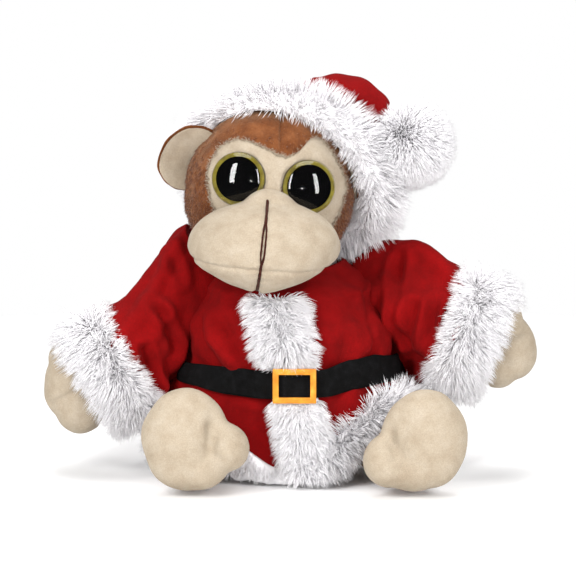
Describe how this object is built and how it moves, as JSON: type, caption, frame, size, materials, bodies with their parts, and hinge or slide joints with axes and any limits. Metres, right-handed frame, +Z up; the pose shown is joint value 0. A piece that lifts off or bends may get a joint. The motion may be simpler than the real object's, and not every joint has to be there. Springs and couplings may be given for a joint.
{
  "type": "dressed plush monkey",
  "caption": "Sitting soft plush monkey with glossy domed eyes, in a belted red coat and a red hat, both trimmed with long white fur.",
  "frame": {"origin": "middle of the flat seat under the body, on the surface it sits on", "axes": "+Z up, the face and feet point along -Y, the monkey's own left is +X"},
  "size_m": [0.2366, 0.1494, 0.185],
  "materials": {
    "brown_plush": "short-pile brown plush",
    "beige_plush": "short-pile beige plush",
    "red_velour": "red velour fleece",
    "white_fur": "long white imitation fur",
    "belt_fabric": "matt black woven strap",
    "buckle_plastic": "orange-gold, satin",
    "thread": "dark brown embroidery thread",
    "eye_lens": "clear glossy dome over the painted eye",
    "eye_iris": "olive-yellow painted back",
    "washer_plastic": "moulded",
    "bean_cloth": "plain woven bag"
  },
  "bodies": {
    "trunk": {"torso": "brown_plush", "bean_bag": "bean_cloth", "seat_panel": "brown_plush", "coat_front_left": "red_velour", "coat_front_right": "red_velour", "coat_back": "red_velour", "front_trim": "white_fur", "hem_trim": "white_fur", "belt": "belt_fabric", "buckle": "buckle_plastic"},
    "head": {"head": "brown_plush", "face_patch": "beige_plush", "muzzle_upper": "beige_plush", "muzzle_chin": "beige_plush", "mouth_stitch": "thread", "eye_lens_right": "eye_lens", "eye_iris_right": "eye_iris", "eye_washer_right": "washer_plastic", "eye_lens_left": "eye_lens", "eye_iris_left": "eye_iris", "eye_washer_left": "washer_plastic", "ear_back_left": "brown_plush", "ear_lining_left": "beige_plush"},
    "hat": {"hat_crown": "red_velour", "hat_brim": "white_fur"},
    "pompom_ball": {"pompom": "white_fur", "pompom_tie": "thread"},
    "ear": {"ear_back_right": "brown_plush", "ear_lining_right": "beige_plush"},
    "right_arm": {"arm_right": "brown_plush", "hand_right": "beige_plush", "sleeve_right": "red_velour", "cuff_right": "white_fur"},
    "left_arm": {"arm_left": "brown_plush", "hand_left": "beige_plush", "sleeve_left": "red_velour", "cuff_left": "white_fur"},
    "right_leg": {"leg_right": "brown_plush", "foot_right": "beige_plush"},
    "left_leg": {"leg_left": "brown_plush", "foot_left": "beige_plush"}
  },
  "joints": [
    {"name": "head_turn", "type": "hinge", "parent": "trunk", "child": "head", "pos_m": [-0.006, 0, 0.092], "axis": [0, 0, 1], "range_deg": [-12, 12], "stiffness_Nm_per_rad": 0.05},
    {"name": "hat_lift", "type": "slide", "parent": "head", "child": "hat", "axis": [0, 0.9397, 0.3419], "range_m": [0, 0.08]},
    {"name": "pompom_swing", "type": "hinge", "parent": "hat", "child": "pompom_ball", "pos_m": [0.0442, 0.0034, 0.1624], "axis": [0, 1, 0], "range_deg": [-15, 20], "stiffness_Nm_per_rad": 0.006, "springref_deg": -5.73},
    {"name": "ear_fold", "type": "hinge", "parent": "head", "child": "ear", "pos_m": [-0.039, -0.003, 0.1435], "axis": [0.4384, 0, 0.8988], "range_deg": [-3, 30], "stiffness_Nm_per_rad": 0.002},
    {"name": "right_arm_raise", "type": "hinge", "parent": "trunk", "child": "right_arm", "pos_m": [-0.043, 0.005, 0.083], "axis": [0, 1, 0], "range_deg": [0, 50], "stiffness_Nm_per_rad": 0.1, "springref_deg": 4.01},
    {"name": "left_arm_raise", "type": "hinge", "parent": "trunk", "child": "left_arm", "pos_m": [0.038, 0.004, 0.079], "axis": [0, -1, 0], "range_deg": [-10, 40], "stiffness_Nm_per_rad": 0.1, "springref_deg": 4.01},
    {"name": "right_leg_splay", "type": "hinge", "parent": "trunk", "child": "right_leg", "pos_m": [-0.024, -0.006, 0.0155], "axis": [0, 0, 1], "range_deg": [-9, 9], "stiffness_Nm_per_rad": 0.1},
    {"name": "left_leg_splay", "type": "hinge", "parent": "trunk", "child": "left_leg", "pos_m": [0.026, -0.006, 0.0155], "axis": [0, 0, 1], "range_deg": [-9, 9], "stiffness_Nm_per_rad": 0.1}
  ]
}
